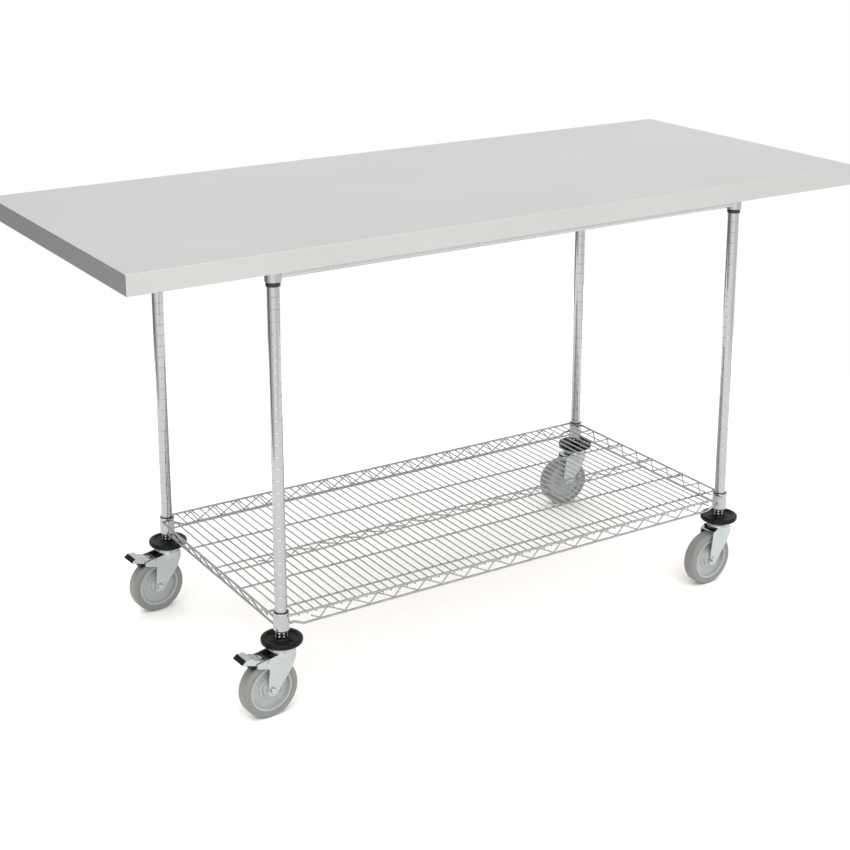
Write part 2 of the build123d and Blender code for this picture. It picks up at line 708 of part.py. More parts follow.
def cross_hole(forward, height, radius, half):
    """A rod across the caster, for a hole through both its sides."""
    with BuildPart() as rod:
        with BuildSketch(Plane.XZ.offset(-half)):
            with Locations((forward, height)):
                Circle(radius)
        extrude(amount=2 * half)
    return rod.part


def fork(cheek, braked):
    """A stamped fork: the swivel crown, a cone that runs out into two cheeks."""
    with BuildPart() as piece:
        add(
            revolved(
                [
                    (0, DOME_TOP),
                    (DOME_RADIUS - 9, DOME_TOP),
                    (DOME_RADIUS - 3, DOME_TOP - 3),
                    (DOME_RADIUS, DOME_TOP - 9),
                    (DOME_RADIUS, shoulder),
                    (leg_out, DOME_SKIRT),
                    (0, DOME_SKIRT),
                ]
            )
        )
        inner = revolved(
            [
                (0, DOME_TOP - FORK_SHEET),
                (DOME_RADIUS - 10, DOME_TOP - FORK_SHEET),
                (DOME_RADIUS - FORK_SHEET - 2, DOME_TOP - FORK_SHEET - 4),
                (DOME_RADIUS - FORK_SHEET, shoulder),
                (leg_in, DOME_SKIRT),
                (leg_in, DOME_SKIRT - 1),
                (0, DOME_SKIRT - 1),
            ]
        )
        add(inner, mode=Mode.SUBTRACT)
        # open in front and behind, so that the wheel can pass between the cheeks
        with BuildSketch(Plane.XY.offset(DOME_SKIRT - 1)):
            Rectangle(4 * DOME_RADIUS, FORK_INSIDE)
        extrude(amount=shoulder - DOME_SKIRT + 1, mode=Mode.SUBTRACT)
        add(side_block(cheek, -leg_out, leg_out, CHEEK_ROUND))
        with BuildSketch(Plane.XZ.offset(-leg_out)):
            with Locations((TRAIL, AXLE_Z)):
                Circle(axle_eye)
        extrude(amount=2 * leg_out)
        # the room between the cheeks, up into the crown
        with BuildSketch(Plane.XY.offset(AXLE_Z - 2 * axle_eye)):
            Rectangle(8 * DOME_RADIUS, FORK_INSIDE)
        extrude(amount=shoulder + 1 - AXLE_Z + 2 * axle_eye, mode=Mode.SUBTRACT)
        with BuildSketch(Plane.XY.offset(shoulder + 1)):
            with Locations((TRAIL + 12, 0)):
                Rectangle(70, FORK_INSIDE)
            with Locations((-40, 0)):
                Rectangle(40, FORK_INSIDE)
            Circle(DOME_RADIUS - FORK_SHEET - 3)
        extrude(amount=7, mode=Mode.SUBTRACT)
        if not braked:
            add(side_block(visor, -leg_out, leg_out))
        with BuildSketch(Plane.XY.offset(DOME_TOP - FORK_SHEET - 1)):
            Circle(KINGPIN_RADIUS + 2 * RUNNING)
        extrude(amount=FORK_SHEET + 2, mode=Mode.SUBTRACT)
        add(cross_hole(TRAIL, AXLE_Z, AXLE_RADIUS + FIT, 2 * leg_out), mode=Mode.SUBTRACT)
        if braked:
            rivet = cross_hole(RIVET_X, RIVET_Z, RIVET_RADIUS + FIT, 2 * leg_out)
            add(rivet, mode=Mode.SUBTRACT)
    return piece.part


def pins(braked):
    """The axle bolt with its domed head and nut, the spacer tube and the rivet."""
    with BuildPart() as piece:
        with BuildSketch(Plane.XZ.offset(-leg_out - BOLT_HEAD_HEIGHT)):
            with Locations((TRAIL, AXLE_Z)):
                Circle(AXLE_RADIUS)
        extrude(amount=2 * leg_out + 2 * BOLT_HEAD_HEIGHT)
        with BuildSketch(Plane.XZ.offset(leg_out)):
            with Locations((TRAIL, AXLE_Z)):
                RegularPolygon(NUT_RADIUS, 6)
        extrude(amount=BOLT_HEAD_HEIGHT)
        with BuildSketch(Plane.XZ.offset(-leg_out - BOLT_HEAD_HEIGHT)):
            with Locations((TRAIL, AXLE_Z)):
                Circle(BOLT_HEAD_RADIUS)
        extrude(amount=BOLT_HEAD_HEIGHT)
        rim = piece.edges().filter_by(GeomType.CIRCLE).sort_by(Axis.Y)[-1]
        fillet(rim, radius=BOLT_HEAD_HEIGHT / 3)
        if braked:
            add(cross_hole(RIVET_X, RIVET_Z, RIVET_RADIUS, leg_out + RIVET_HEAD))
            for face in (leg_out, -leg_out - RIVET_HEAD):
                with BuildSketch(Plane.XZ.offset(face)):
                    with Locations((RIVET_X, RIVET_Z)):
                        Circle(1.7 * RIVET_RADIUS)
                extrude(amount=RIVET_HEAD)
        with BuildSketch(Plane.XZ.offset(-leg_in)):
            with Locations((TRAIL, AXLE_Z)):
                Circle(SPACER_RADIUS)
                Circle(AXLE_RADIUS + FIT, mode=Mode.SUBTRACT)
        extrude(amount=FORK_INSIDE)
    return piece.part


def wheel_section(points):
    """A wheel part turned about the axle from its half section (out, along)."""
    with BuildPart() as piece:
        with BuildSketch(Plane.YZ):
            with BuildLine():
                Polyline(*[(along, out) for out, along in points], close=True)
            make_face()
        revolve(axis=Axis.Y)
    return piece.part


half_hub = HUB_WIDTH / 2
half_rim = WHEEL_WIDTH / 2 - 1.5
half_web = HUB_WEB / 2
boss_step = HUB_BOSS_RADIUS + 6
hub_side = [
    (SPACER_RADIUS + RUNNING, half_hub),
    (HUB_BOSS_RADIUS - 8, half_hub),
    (HUB_BOSS_RADIUS - 7, half_hub - 2.5),
    (HUB_BOSS_RADIUS - 1, half_hub - 3.5),
    (HUB_BOSS_RADIUS + 1, half_web + 4),
    (boss_step, half_web + 3),
    (boss_step + 1, half_web + 1),
    (HUB_RADIUS - HUB_RIM - 8, half_web),
    (HUB_RADIUS - HUB_RIM - 1, half_web + 1),
    (HUB_RADIUS - HUB_RIM, half_rim),
    (HUB_RADIUS, half_rim),
]
hub = wheel_section(hub_side + [(out, -along) for out, along in reversed(hub_side)])

tread_base = HUB_RADIUS + FIT
with BuildPart() as tread:
    with BuildSketch(Plane.YZ):
        with Locations((0, (tread_base + WHEEL_RADIUS) / 2)):
            RectangleRounded(WHEEL_WIDTH, WHEEL_RADIUS - tread_base, TREAD_ROUND)
        with Locations((0, tread_base + 4)):
            Rectangle(WHEEL_WIDTH - 2, 8)
    revolve(axis=Axis.Y)


def over_wheel(points, half):
    """A block across the caster, hollowed to clear the tread."""
    with BuildPart() as block:
        add(side_block(points, -half, half))
        room = cross_hole(TRAIL, AXLE_Z, WHEEL_RADIUS + SHOE_GAP, 2 * half)
        add(room, mode=Mode.SUBTRACT)
    return block.part


# brake lever: two side arms on the rivet, a web that joins them over the
# wheel and the pin that carries the spring
arm_out = leg_in - LEVER_GAP
arm_in = arm_out - LEVER_SHEET
web_top = DOME_TOP - 13
arm = [
    (34, DOME_TOP - 27),
    (34, DOME_TOP - 16),
    (46, web_top),
    (71, web_top),
    (71, DOME_TOP - 25),
    (50, DOME_TOP - 27),
]
web_base = web_top - LEVER_SHEET
web = [(58, web_base), (58, web_top), (71, web_top), (71, web_base)]
with BuildPart() as brake_lever:
    add(side_block(arm, arm_in, arm_out))
    add(side_block(arm, -arm_out, -arm_in))
    add(side_block(web, -arm_out, arm_out))
    add(cross_hole(PIN_X, PIN_Z, PIN_RADIUS, arm_out))
    rivet_hole = cross_hole(RIVET_X, RIVET_Z, RIVET_RADIUS + RUNNING, 2 * arm_out)
    add(rivet_hole, mode=Mode.SUBTRACT)

# return spring wound round that pin
spring_length = SPRING_PITCH * SPRING_TURNS
spring_start = (PIN_X, -spring_length / 2, PIN_Z)
with BuildPart() as brake_spring:
    with BuildLine() as coil:
        Helix(SPRING_PITCH, spring_length, SPRING_RADIUS, center=spring_start, direction=(0, 1, 0))
    with BuildSketch(Plane(origin=coil.line @ 0, z_dir=coil.line % 0)):
        Circle(SPRING_WIRE)
    sweep(is_frenet=True)

# foot pedal: a plate that rises from the lever and turns down at its end,
# with stiffening flanges down its sides
plate_base = web_top
pedal_plate = [
    (66, plate_base),
    (74, plate_base),
    (81, plate_base + 7.6),
    (93.5, plate_base + 7.4),
    (102.5, plate_base + 0.6),
    (104, plate_base + 2.6),
    (94.5, plate_base + 10),
    (80, plate_base + 10.2),
    (72.5, plate_base + 2.6),
    (66, plate_base + 2.6),
]
pedal_flange = [
    (71.5, plate_base - 6),
    (71.5, plate_base + 2),
    (80, plate_base + 9.8),
    (94.2, plate_base + 9.6),
    (103.4, plate_base + 2),
    (101.5, plate_base),
    (86, plate_base - 3),
    (75, plate_base - 7),
]
half_pedal = PEDAL_WIDTH / 2
with BuildPart() as pedal:
    add(side_block(pedal_plate, -half_pedal, half_pedal))
    add(side_block(pedal_flange, half_pedal - LEVER_SHEET, half_pedal))
    add(side_block(pedal_flange, -half_pedal, LEVER_SHEET - half_pedal))

# rubber: the shoe over the tread and the ribbed pad on the pedal's slope
shoe = over_wheel(
    [
        (64, web_base),
        (70.5, web_base),
        (77, DOME_TOP - 22),
        (79, DOME_TOP - 32),
        (68, DOME_TOP - 34),
    ],
    SHOE_WIDTH / 2,
)
slope_top = (94.5, plate_base + 10)
slope_end = (104, plate_base + 2.6)
run = slope_end[0] - slope_top[0]
drop = slope_top[1] - slope_end[1]
slope = hypot(run, drop)


def on_slope(share, out):
    """A point of the pad's outline, out from the pedal's slope."""
    return (
        slope_top[0] + share * run + out * drop / slope,
        slope_top[1] - share * drop + out * run / slope,
    )


pad_outline = [on_slope(0, 0)]
for tooth in range(PAD_TEETH):
    pad_outline.append(on_slope(tooth / PAD_TEETH, PAD_THICK))
    pad_outline.append(on_slope((tooth + 0.7) / PAD_TEETH, PAD_THICK))
    pad_outline.append(on_slope((tooth + 0.85) / PAD_TEETH, PAD_THICK / 2))
pad_outline.append(on_slope(1, PAD_THICK))
pad_outline.append(on_slope(1, 0))
with BuildPart() as brake_rubbers:
    add(shoe)
    add(side_block(pad_outline, 1 - half_pedal, half_pedal - 1))

# moulded guard over the wheel, with a boss on the rivet between the lever's arms
guard_top = DOME_TOP - 21.6
guard_half = arm_in - LEVER_GAP
guard_side = [(14, guard_top), (58, guard_top), (62, guard_top - 3), (62, DOME_SKIRT)]
with BuildPart() as guard:
    add(side_block([*guard_side, (14, DOME_SKIRT)], -guard_half, guard_half))
    add(cross_hole(RIVET_X, RIVET_Z, RIVET_RADIUS + 2, guard_half))
    room = cross_hole(TRAIL, AXLE_Z, WHEEL_RADIUS + SHOE_GAP, 2 * guard_half)
    add(room, mode=Mode.SUBTRACT)
    add(cross_hole(RIVET_X, RIVET_Z, RIVET_RADIUS + FIT, leg_in), mode=Mode.SUBTRACT)

for corner, (x, y) in CORNERS.items():
    place = Location((x, y, 0), (0, 0, TRAIL_ANGLES[corner]))
    turn = Location((TRAIL, 0, AXLE_Z))
    braked = corner.endswith("left")
    cheek = braked_cheek if braked else plain_cheek
    save(fork(cheek, braked).moved(place), f"fork_{corner}")
    save(pins(braked).moved(place), f"fork_pins_{corner}")
    save(hub.moved(place * turn), f"wheel_hub_{corner}")
    save(tread.part.moved(place * turn), f"wheel_tread_{corner}")
    if braked:
        save(guard.part.moved(place), f"wheel_guard_{corner}")
        save(brake_lever.part.moved(place), f"brake_lever_{corner}")
        save(brake_spring.part.moved(place), f"brake_spring_{corner}")
        save(pedal.part.moved(place), f"brake_pedal_{corner}")
        save(brake_rubbers.part.moved(place), f"brake_rubbers_{corner}")
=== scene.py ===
import math

import bpy
from mathutils import Matrix, Vector


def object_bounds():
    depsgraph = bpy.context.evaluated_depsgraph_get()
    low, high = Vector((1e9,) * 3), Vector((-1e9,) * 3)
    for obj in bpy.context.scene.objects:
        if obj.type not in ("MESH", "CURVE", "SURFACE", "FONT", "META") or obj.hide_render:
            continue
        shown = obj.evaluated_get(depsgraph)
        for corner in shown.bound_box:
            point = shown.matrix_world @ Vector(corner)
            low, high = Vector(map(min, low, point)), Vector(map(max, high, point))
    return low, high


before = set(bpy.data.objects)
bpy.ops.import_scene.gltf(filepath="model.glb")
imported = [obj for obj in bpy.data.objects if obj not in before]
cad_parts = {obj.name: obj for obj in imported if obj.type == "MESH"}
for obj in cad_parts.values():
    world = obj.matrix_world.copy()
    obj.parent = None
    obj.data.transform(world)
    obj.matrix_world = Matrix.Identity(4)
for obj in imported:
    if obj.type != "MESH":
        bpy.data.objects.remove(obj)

bl_info = {
    "name": "Mobile Stainless Work Table",
    "version": (1, 0, 0),
    "blender": (4, 5, 0),
    "location": "3D View > Sidebar > Work Table",
    "description": "Finishes and a plain studio for a stainless work table on casters",
    "category": "Object",
}

CAD_LOW, CAD_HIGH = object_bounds()
MM = 0.001
CORNERS = ("front_left", "rear_left", "front_right", "rear_right")
LEFT = CORNERS[:2]
LINES_IN_TONE = 0.25  # weight of the brush lines against the slow drift in the top's colour

# sockets of a mix node: its factor, its two numbers, its two colours and its mixed colour
MIX_FACTOR, NUMBER_A, NUMBER_B, COLOUR_A, COLOUR_B = 0, 2, 3, 6, 7
MIXED_COLOUR = 2


def linear(code):
    """The linear colour of an sRGB hex code such as #d5d5d3."""
    parts = [int(code[i : i + 2], 16) / 255 for i in (1, 3, 5)]
    return [p / 12.92 if p <= 0.04045 else ((p + 0.055) / 1.055) ** 2.4 for p in parts]


def colour(name, description, code):
    """A colour that a user may change, with its default as a hex code."""
    return bpy.props.FloatVectorProperty(
        name=name, description=description, subtype="COLOR", min=0, max=1, default=linear(code)
    )


def length(name, description, millimetres):
    """A length that a user may change, with its default in millimetres."""
    return bpy.props.FloatProperty(
        name=name, description=description, unit="LENGTH", min=0, default=millimetres * MM
    )


class TableFinish(bpy.types.PropertyGroup):
    steel: colour("Steel", "Brushed stainless steel of the top", "#c4c3c1")
    board: colour("Board", "Particle board inside the top", "#b3946c")
    galvanised: colour("Galvanised", "Zinc-coated channels of the frame", "#b2b5b4")
    chrome: colour("Chrome", "Plating of the posts and collars", "#a9abac")
    wire: colour("Wire", "Plating of the shelf's wires", "#a7a9aa")
    zinc: colour("Zinc", "Passivated zinc of the caster forks", "#b4bab9")
    sleeve: colour("Sleeve", "Moulded sleeves and plugs", "#0e0f10")
    # the bushes' pale colour is a painted highlight in the sleeves' windows
    bush_painted_highlight: colour("Bush", "Pale bushes behind the sleeves' windows", "#dcdcd6")
    bumper: colour("Bumper", "Rubber rings over the casters", "#09090a")
    hub: colour("Hub", "Moulded wheel hubs", "#a1a6a6")
    tread: colour("Tread", "Non-marking rubber of the treads", "#777875")
    # the guards' black is partly their plastic and partly painted shade inside the forks
    guard_and_painted_shade: colour("Guard", "Moulded guards over the braked wheels", "#131315")
    brush_line: length("Brush line", "Spacing of the top's brush lines", 1.2)
    brush_run: length("Brush run", "Length of one brush line", 90)
    spangle: length("Spangle", "Width of a zinc crystal on the channels", 5)
    speckle: length("Speckle", "Grain of the moulded wheel treads", 1.6)


class TableStudio(bpy.types.PropertyGroup):
    floor: colour("Floor", "Pale studio floor", "#fbfbfa")
    sky_light: bpy.props.FloatProperty(
        name="Sky", description="Strength of the studio's walls and ceiling", min=0, default=1.12
    )
    sun_light: bpy.props.FloatProperty(
        name="Key", description="Strength of the broad light from above", min=0, default=1.25
    )
    lens: bpy.props.FloatProperty(
        name="Lens", description="Focal length in millimetres", min=1, default=71.24
    )
    rise: bpy.props.FloatProperty(
        name="View rise", description="Vertical shift of the view", default=-0.174
    )


def add_node(tree, kind, options=None, values=None, links=None):
    """Adds one node, sets its options and the values of its sockets, and links its inputs."""
    made = tree.nodes.new(kind)
    for option, value in (options or {}).items():
        setattr(made, option, value)
    for socket, value in (values or {}).items():
        made.inputs[socket].default_value = value
    for socket, source in (links or {}).items():
        tree.links.new(source, made.inputs[socket])
    return made


def new_finish(name, base, metallic, roughness, **sockets):
    """A material with its shader: returns (material, tree, shader, place on the piece)."""
    material = bpy.data.materials.new(name)
    material.use_nodes = True
    tree = material.node_tree
    tree.nodes.clear()
    values = {"Base Color": (*base, 1), "Metallic": metallic, "Roughness": roughness}
    values.update({socket.replace("_", " "): value for socket, value in sockets.items()})
    shader = add_node(tree, "ShaderNodeBsdfPrincipled", values=values)
    add_node(tree, "ShaderNodeOutputMaterial", links={"Surface": shader.outputs["BSDF"]})
    place = add_node(tree, "ShaderNodeTexCoord").outputs["Object"]
    return material, tree, shader, place


def per(size):
    """A texture's scale for features of this size in metres."""
    return 1 / size


def shade(base, factor):
    """The same colour, lighter or darker."""
    return (*[min(1, part * factor) for part in base], 1)


def vary(tree, shader, signal, base, low, high, rough=None, span=(0.3, 0.7)):
    """Drives colour between two shades of base, and roughness between two values, by a signal."""
    spread = add_node(
        tree,
        "ShaderNodeMapRange",
        values={"From Min": span[0], "From Max": span[1]},
        links={"Value": signal},
    ).outputs["Result"]
    mixed = add_node(
        tree,
        "ShaderNodeMix",
        {"data_type": "RGBA"},
        {COLOUR_A: shade(base, low), COLOUR_B: shade(base, high)},
        {MIX_FACTOR: spread},
    )
    tree.links.new(mixed.outputs[MIXED_COLOUR], shader.inputs["Base Color"])
    if rough:
        wear = add_node(
            tree,
            "ShaderNodeMapRange",
            values={"To Min": rough[0], "To Max": rough[1]},
            links={"Value": spread},
        )
        tree.links.new(wear.outputs["Result"], shader.inputs["Roughness"])


def emboss(tree, shader, height, depth, strength):
    """Raises the surface by a signal, depth being its full height in metres."""
    bump = add_node(
        tree,
        "ShaderNodeBump",
        values={"Strength": strength, "Distance": depth},
        links={"Height": height},
    )
    tree.links.new(bump.outputs["Normal"], shader.inputs["Normal"])


def dress(material, *names):
    """Gives a material to CAD nodes."""
    for name in names:
        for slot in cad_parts[name].material_slots:
            slot.material = material


def each(stem, corners):
    """The names of a piece that stands at several corners."""
    return [f"{stem}_{corner}" for corner in corners]


class WORKTABLE_OT_clad_top(bpy.types.Operator):
    """Gives the folded top its brushed stainless steel and shows the board under it"""

    bl_idname = "worktable.clad_top"
    bl_label = "Clad the top"

    def execute(self, context):
        finish = context.scene.table_finish
        # Stainless steel with a fine linear brush: long faint lines along the top that
        # soften every reflection, and a slow warm and cool drift over the sheet.
        # Real brush lines are a tenth of a millimetre apart, so they are drawn coarser.
        material, tree, shader, place = new_finish(
            "brushed_stainless_steel", finish.steel, 1.0, 0.34
        )
        along = add_node(
            tree,
            "ShaderNodeMapping",
            values={"Scale": (per(finish.brush_run), per(finish.brush_line), per(finish.brush_line))},
            links={"Vector": place},
        ).outputs["Vector"]
        lines = add_node(
            tree, "ShaderNodeTexNoise", values={"Scale": 1, "Detail": 4}, links={"Vector": along}
        ).outputs["Fac"]
        drift = add_node(
            tree,
            "ShaderNodeTexNoise",
            values={"Scale": per(420 * MM), "Detail": 2},
            links={"Vector": place},
        ).outputs["Fac"]
        tone = add_node(
            tree,
            "ShaderNodeMath",
            {"operation": "MULTIPLY_ADD"},
            {1: LINES_IN_TONE},
            {0: lines, 2: drift},
        ).outputs["Value"]
        vary(tree, shader, tone, finish.steel, 0.965, 1.02, (0.3, 0.37), (0.4, 0.85))
        emboss(tree, shader, lines, 0.012 * MM, 0.5)
        dress(material, "top_sheet")

        # Particle board: pressed chips of several woods, matt and dry.
        material, tree, shader, place = new_finish("particle_board", finish.board, 0.0, 0.82)
        chips = add_node(
            tree,
            "ShaderNodeTexVoronoi",
            values={"Scale": per(5 * MM), "Randomness": 1.0},
            links={"Vector": place},
        )
        grey = add_node(
            tree, "ShaderNodeSeparateColor", links={"Color": chips.outputs["Color"]}
        ).outputs["Red"]
        vary(tree, shader, grey, finish.board, 0.72, 1.18, span=(0, 1))
        emboss(tree, shader, grey, 0.15 * MM, 0.6)
        dress(material, "top_core")
        return {"FINISHED"}


class WORKTABLE_OT_coat_frame(bpy.types.Operator):
    """Gives the channels under the top their galvanised coat and the screws their zinc"""

    bl_idname = "worktable.coat_frame"
    bl_label = "Coat the frame"

    def execute(self, context):
        finish = context.scene.table_finish
        # Minimum-spangle galvanised sheet: small zinc crystals that differ a little in
        # shine, under a smooth rolled skin.
        material, tree, shader, place = new_finish(
            "galvanised_steel", finish.galvanised, 1.0, 0.27
        )
        crystals = add_node(
            tree,
            "ShaderNodeTexVoronoi",
            values={"Scale": per(finish.spangle)},
            links={"Vector": place},
        )
        grey = add_node(
            tree, "ShaderNodeSeparateColor", links={"Color": crystals.outputs["Color"]}
        ).outputs["Green"]
        vary(tree, shader, grey, finish.galvanised, 0.98, 1.01, (0.25, 0.29), (0, 1))
        dress(
            material, *each("frame_rail", ("front", "rear", "left", "right")), "cross_channels"
        )

        # Bright zinc screws, tumbled, with soft scuffs.
        material, tree, shader, place = new_finish("bright_zinc", finish.zinc, 1.0, 0.3)
        scuffs = add_node(
            tree,
            "ShaderNodeTexNoise",
            values={"Scale": per(3 * MM), "Detail": 3},
            links={"Vector": place},
        ).outputs["Fac"]
        vary(tree, shader, scuffs, finish.zinc, 0.8, 1.05, (0.22, 0.4))
        dress(material, "frame_screws")
        return {"FINISHED"}


class WORKTABLE_OT_plate_posts(bpy.types.Operator):
    """Chromes the grooved posts and their collars and blackens the sleeves"""

    bl_idname = "worktable.plate_posts"
    bl_label = "Plate the posts"

    def execute(self, context):
        finish = context.scene.table_finish
        # Decorative chrome over nickel on drawn tube: a cool mirror with faint hand
        # smudges and the slow waviness that drawing leaves in the tube.
        material, tree, shader, place = new_finish("chromed_tube", finish.chrome, 1.0, 0.05)
        smudges = add_node(
            tree,
            "ShaderNodeTexNoise",
            values={"Scale": per(35 * MM), "Detail": 5, "Roughness": 0.6},
            links={"Vector": place},
        ).outputs["Fac"]
        vary(tree, shader, smudges, finish.chrome, 0.95, 1.0, (0.03, 0.09))
        waves = add_node(
            tree,
            "ShaderNodeTexNoise",
            values={"Scale": per(22 * MM), "Detail": 1},
            links={"Vector": place},
        ).outputs["Fac"]
        emboss(tree, shader, waves, 0.02 * MM, 0.2)
        dress(material, *each("post", CORNERS), "top_collars", "shelf_collars")

        # Injection-moulded nylon sleeves and plugs: black with a satin skin.
        material, tree, shader, place = new_finish("moulded_nylon", finish.sleeve, 0.0, 0.3)
        skin = add_node(
            tree,
            "ShaderNodeTexNoise",
            values={"Scale": per(1.2 * MM), "Detail": 2},
            links={"Vector": place},
        ).outputs["Fac"]
        vary(tree, shader, skin, finish.sleeve, 0.8, 1.3, (0.24, 0.36))
        emboss(tree, shader, skin, 0.03 * MM, 0.3)
        dress(material, "top_sleeves", "shelf_sleeves", "post_plugs")

        # Natural nylon bushes whose pale colour is a painted highlight in the sleeves' windows: off-white,
        # faintly yellow in patches, satin.
        material, tree, shader, place = new_finish("nylon_painted_highlight", finish.bush_painted_highlight, 0.0, 0.35)
        age = add_node(
            tree,
            "ShaderNodeTexNoise",
            values={"Scale": per(6 * MM), "Detail": 2},
            links={"Vector": place},
        ).outputs["Fac"]
        vary(tree, shader, age, finish.bush_painted_highlight, 0.9, 1.04, (0.3, 0.42))
        dress(material, "neck_bushes")
        return {"FINISHED"}


class WORKTABLE_OT_plate_shelf(bpy.types.Operator):
    """Chromes the welded wires of the shelf"""

    bl_idname = "worktable.plate_shelf"
    bl_label = "Plate the shelf"

    def execute(self, context):
        finish = context.scene.table_finish
        # Chromed welded wire: brighter on the runs, greyer and duller in patches where
        # the plating is thin round the welds.
        material, tree, shader, place = new_finish("chromed_wire", finish.wire, 1.0, 0.1)
        patches = add_node(
            tree,
            "ShaderNodeTexNoise",
            values={"Scale": per(18 * MM), "Detail": 4},
            links={"Vector": place},
        ).outputs["Fac"]
        vary(tree, shader, patches, finish.wire, 0.84, 1.02, (0.07, 0.16))
        dress(
            material,
            *each("shelf_truss", ("front", "rear", "left", "right", "centre")),
            "deck_wires",
            "support_wires",
        )
        return {"FINISHED"}


class WORKTABLE_OT_finish_casters(bpy.types.Operator):
    """Gives the forks, races and pins their zinc and the bumpers their rubber"""

    bl_idname = "worktable.finish_casters"
    bl_label = "Finish the casters"

    def execute(self, context):
        finish = context.scene.table_finish
        # Zinc plate with a clear blue passivation on stamped steel: pale, faintly green
        # blue, cloudy, with the fine grain of the pressed sheet.
        material, tree, shader, place = new_finish("passivated_zinc", finish.zinc, 1.0, 0.26)
        clouds = add_node(
            tree,
            "ShaderNodeTexNoise",
            values={"Scale": per(16 * MM), "Detail": 5, "Roughness": 0.55},
            links={"Vector": place},
        ).outputs["Fac"]
        vary(tree, shader, clouds, finish.zinc, 0.95, 1.01, (0.15, 0.22))
        grain = add_node(
            tree,
            "ShaderNodeTexNoise",
            values={"Scale": per(0.9 * MM), "Detail": 2},
            links={"Vector": place},
        ).outputs["Fac"]
        emboss(tree, shader, grain, 0.02 * MM, 0.4)
        dress(
            material,
            *each("fork", CORNERS),
            *each("fork_pins", CORNERS),
            *each("brake_lever", LEFT),
            *each("brake_spring", LEFT),
            *each("brake_pedal", LEFT),
            "caster_races",
            "caster_stems",
        )

        # Moulded black rubber: smooth skin that takes a soft grey sheen on its rim, with
        # a patchy bloom.
        material, tree, shader, place = new_finish(
            "moulded_rubber", finish.bumper, 0.0, 0.3, Specular_IOR_Level=0.15
        )
        bloom = add_node(
            tree,
            "ShaderNodeTexNoise",
            values={"Scale": per(7 * MM), "Detail": 4},
            links={"Vector": place},
        ).outputs["Fac"]
        vary(tree, shader, bloom, finish.bumper, 0.8, 1.4, (0.26, 0.42))
        grain = add_node(
            tree,
            "ShaderNodeTexNoise",
            values={"Scale": per(0.8 * MM), "Detail": 2},
            links={"Vector": place},
        ).outputs["Fac"]
        emboss(tree, shader, grain, 0.03 * MM, 0.4)
        dress(material, "bumpers", *each("brake_rubbers", LEFT))
        return {"FINISHED"}


class WORKTABLE_OT_finish_wheels(bpy.types.Operator):
    """Gives the wheels their moulded hubs and non-marking rubber treads"""

    bl_idname = "worktable.finish_wheels"
    bl_label = "Finish the wheels"

    def execute(self, context):
        finish = context.scene.table_finish
        # Glass-filled polypropylene hub: light grey, satin, faintly clouded by the flow
        # of the plastic in its mould.
        material, tree, shader, place = new_finish("moulded_polypropylene", finish.hub, 0.0, 0.4)
        flow = add_node(
            tree,
            "ShaderNodeTexNoise",
            values={"Scale": per(14 * MM), "Detail": 4, "Distortion": 0.8},
            links={"Vector": place},
        ).outputs["Fac"]
        vary(tree, shader, flow, finish.hub, 0.9, 1.05, (0.34, 0.48))
        dress(material, *each("wheel_hub", CORNERS))

        # Thermoplastic rubber tread: mid grey, matt, with fine light and dark specks.
        material, tree, shader, place = new_finish(
            "thermoplastic_rubber", finish.tread, 0.0, 0.45
        )
        specks = add_node(
            tree,
            "ShaderNodeTexNoise",
            values={"Scale": per(finish.speckle), "Detail": 4, "Roughness": 0.7},
            links={"Vector": place},
        ).outputs["Fac"]
        vary(tree, shader, specks, finish.tread, 0.88, 1.1, (0.38, 0.52))
        emboss(tree, shader, specks, 0.04 * MM, 0.4)
        dress(material, *each("wheel_tread", CORNERS))
        return {"FINISHED"}


class WORKTABLE_OT_mould_guards(bpy.types.Operator):
    """Gives the guards over the braked wheels their black, partly their own plastic and partly painted shade
    inside the forks
    """

    bl_idname = "worktable.mould_guards"
    bl_label = "Mould the guards"

    def execute(self, context):
        finish = context.scene.table_finish
        # Moulded polyethylene: black, satin, with faint lighter flow marks; the black is partly the plastic's
        # own and partly painted shade of the fork's dark inside.
        material, tree, shader, place = new_finish("polyethylene_and_painted_shade", finish.guard_and_painted_shade, 0.0, 0.36)
        flow = add_node(
            tree,
            "ShaderNodeTexNoise",
            values={"Scale": per(4 * MM), "Detail": 4},
            links={"Vector": place},
        ).outputs["Fac"]
        vary(tree, shader, flow, finish.guard_and_painted_shade, 0.7, 1.4, (0.3, 0.44))
        dress(material, *each("wheel_guard", LEFT))
        return {"FINISHED"}


# the camera's place: to the left of the centre, in front of it and above the floor
CAMERA_PLACE = Vector((-2.001, -3.111, 1.787))
CAMERA_TURN = 0.56124  # radians from straight ahead towards the right
CAMERA_DIP = 0.26601  # radians below the horizon
CAMERA_REACH = 100  # metres
SENSOR_WIDTH = 36.0  # millimetres
FLOOR_HALF = 2.0  # metres
KEY_FROM = Vector((-0.35, -0.55, 1.0))
KEY_SPREAD = math.radians(50)

# The studio's even light, and the patches that change it: the direction of each, the
# cosines between which it grows, and what it adds.
ROOM_LEVEL = 0.9
CEILING = ((0.0, 0.0, 1.0), 0.5, 0.85, 0.6)
FRONT_LEFT = ((-0.52, -0.84, -0.15), 0.7, 0.96, 0.5)
FRONT_RIGHT = ((0.7, -0.7, -0.1), 0.5, 0.9, 0.2)
DARK_WALL = ((-0.57, 0.8, 0.05), 0.55, 0.8, -0.58)
# the dark wall is whole up to 13 degrees above the horizon and gone at 27
WALL_FADE = ((0.0, 0.0, -1.0), -0.45, -0.22, 1.0)


